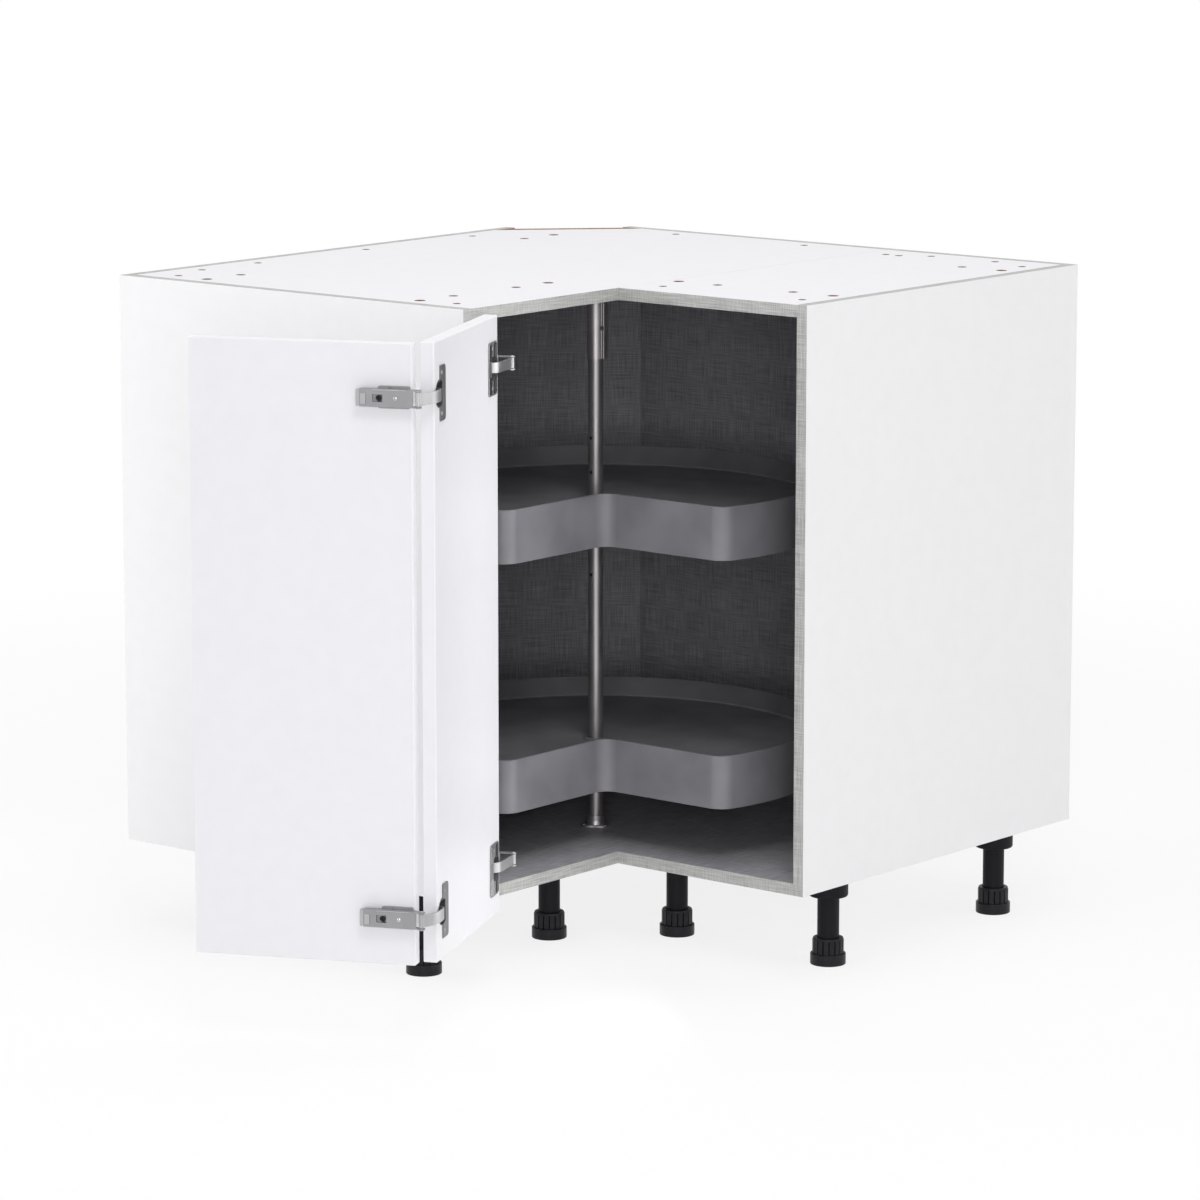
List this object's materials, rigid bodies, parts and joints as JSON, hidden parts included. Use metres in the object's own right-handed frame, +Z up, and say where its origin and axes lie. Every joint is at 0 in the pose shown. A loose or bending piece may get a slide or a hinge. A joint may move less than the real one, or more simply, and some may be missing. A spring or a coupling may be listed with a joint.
{
  "type": "corner carousel cabinet",
  "caption": "L-shaped kitchen corner base cabinet with a folding two-leaf door, round notched trays turning on a pole, and levelling legs.",
  "frame": {"origin": "centre of the underside of the levelling foot nearest the room corner, on the floor", "axes": "+X along the right-hand wall, -Y along the left-hand wall, +Z up"},
  "size_m": [0.914, 1.3111, 0.882],
  "materials": {
    "end_board": "white melamine-faced chipboard with a pale grey banded front edge",
    "flat_board": "melamine-faced chipboard, pale outside and dark grey linen inside, raw chipboard in the holes",
    "back_board": "melamine-faced chipboard, dark grey linen inside",
    "door_leaf": "smooth white foil-wrapped board",
    "black_plastic": "near-black moulded plastic",
    "tray_plastic": "mid-grey moulded plastic, satin",
    "hinge_nickel": "nickel-plated pressed steel",
    "pole_chrome": "bright chrome-plated steel tube"
  },
  "bodies": {
    "carcass": {"left_end_panel": "end_board", "right_end_panel": "end_board", "top_board_main": "flat_board", "top_board_wing": "flat_board", "bottom_board_main": "flat_board", "bottom_board_wing": "flat_board", "back_panel_left": "back_board", "back_panel_right": "back_board", "back_panel_corner": "back_board", "leg_socket_left_front": "black_plastic", "leg_socket_left_inner": "black_plastic", "leg_socket_right_inner": "black_plastic", "leg_socket_right_front": "black_plastic", "leg_socket_right_back": "black_plastic", "leg_socket_left_back": "black_plastic", "leg_socket_corner": "black_plastic", "pole_tube": "pole_chrome", "pole_sleeve": "pole_chrome", "pole_clamp_screw": "hinge_nickel", "pole_base_flange": "pole_chrome", "pole_top_fixing": "black_plastic", "bearing_collar_lower": "black_plastic", "support_pin_lower": "hinge_nickel", "hinge_plate_lower": "hinge_nickel", "hinge_arm_lower": "hinge_nickel", "bearing_collar_upper": "black_plastic", "support_pin_upper": "hinge_nickel", "hinge_plate_upper": "hinge_nickel", "hinge_arm_upper": "hinge_nickel"},
    "door_a": {"door_leaf_a": "door_leaf", "hinge_cup_lower": "hinge_nickel", "fold_cup_lower": "hinge_nickel", "fold_link_lower": "hinge_nickel", "hinge_cup_upper": "hinge_nickel", "fold_cup_upper": "hinge_nickel", "fold_link_upper": "hinge_nickel"},
    "door_b": {"door_leaf_b": "door_leaf", "fold_plate_lower": "hinge_nickel", "fold_arm_lower": "hinge_nickel", "fold_plate_upper": "hinge_nickel", "fold_arm_upper": "hinge_nickel"},
    "link_lower": {"hinge_link_lower": "hinge_nickel"},
    "lever_lower": {"hinge_lever_lower": "hinge_nickel"},
    "carousel_lower": {"tray_lower": "tray_plastic"},
    "link_upper": {"hinge_link_upper": "hinge_nickel"},
    "lever_upper": {"hinge_lever_upper": "hinge_nickel"},
    "carousel_upper": {"tray_upper": "tray_plastic"},
    "foot_left_front": {"leg_foot_left_front": "black_plastic"},
    "foot_left_inner": {"leg_foot_left_inner": "black_plastic"},
    "foot_right_inner": {"leg_foot_right_inner": "black_plastic"},
    "foot_right_front": {"leg_foot_right_front": "black_plastic"},
    "foot_right_back": {"leg_foot_right_back": "black_plastic"},
    "foot_left_back": {"leg_foot_left_back": "black_plastic"},
    "foot_corner": {"leg_foot_corner": "black_plastic"}
  },
  "joints": [
    {"name": "door_hinge", "type": "hinge", "parent": "carcass", "child": "door_a", "pos_m": [0.5097, -0.7538, 0.494], "axis": [0, 0, -1], "range_deg": [-155, 0]},
    {"name": "fold_hinge", "type": "hinge", "parent": "door_a", "child": "door_b", "pos_m": [0.65775, -1.03652, 0.494], "axis": [0, 0, 1], "range_deg": [0, 60]},
    {"name": "link_lower_turn", "type": "hinge", "parent": "carcass", "child": "link_lower", "pos_m": [0.4811, -0.729, 0.173], "axis": [0, 0, -1], "range_deg": [-135.96, 0]},
    {"name": "link_upper_turn", "type": "hinge", "parent": "carcass", "child": "link_upper", "pos_m": [0.4811, -0.729, 0.814], "axis": [0, 0, -1], "range_deg": [-135.96, 0]},
    {"name": "lever_lower_turn", "type": "hinge", "parent": "door_a", "child": "lever_lower", "pos_m": [0.53678, -0.76644, 0.173], "axis": [0, 0, -1], "range_deg": [0, 94.49]},
    {"name": "lever_upper_turn", "type": "hinge", "parent": "door_a", "child": "lever_upper", "pos_m": [0.53678, -0.76644, 0.814], "axis": [0, 0, -1], "range_deg": [0, 94.49]},
    {"name": "tray_lower_spin", "type": "hinge", "parent": "carcass", "child": "carousel_lower", "pos_m": [0.359, -0.3415, 0.242], "axis": [0, 0, 1], "range_deg": [0, 360]},
    {"name": "tray_upper_spin", "type": "hinge", "parent": "carcass", "child": "carousel_upper", "pos_m": [0.359, -0.3415, 0.572], "axis": [0, 0, 1], "range_deg": [0, 360]},
    {"name": "foot_left_front_adjust", "type": "slide", "parent": "carcass", "child": "foot_left_front", "axis": [0, 0, -1], "range_m": [0, 0.02]},
    {"name": "foot_left_inner_adjust", "type": "slide", "parent": "carcass", "child": "foot_left_inner", "axis": [0, 0, -1], "range_m": [0, 0.02]},
    {"name": "foot_right_inner_adjust", "type": "slide", "parent": "carcass", "child": "foot_right_inner", "axis": [0, 0, -1], "range_m": [0, 0.02]},
    {"name": "foot_right_front_adjust", "type": "slide", "parent": "carcass", "child": "foot_right_front", "axis": [0, 0, -1], "range_m": [0, 0.02]},
    {"name": "foot_right_back_adjust", "type": "slide", "parent": "carcass", "child": "foot_right_back", "axis": [0, 0, -1], "range_m": [0, 0.02]},
    {"name": "foot_left_back_adjust", "type": "slide", "parent": "carcass", "child": "foot_left_back", "axis": [0, 0, -1], "range_m": [0, 0.02]},
    {"name": "foot_corner_adjust", "type": "slide", "parent": "carcass", "child": "foot_corner", "axis": [0, 0, -1], "range_m": [0, 0.02]}
  ],
  "couplings": [
    {"joint": "link_lower_turn", "follows": "door_hinge", "ratio": 0.8771},
    {"joint": "link_upper_turn", "follows": "door_hinge", "ratio": 0.8771},
    {"joint": "lever_lower_turn", "follows": "door_hinge", "ratio": -0.6096},
    {"joint": "lever_upper_turn", "follows": "door_hinge", "ratio": -0.6096}
  ]
}
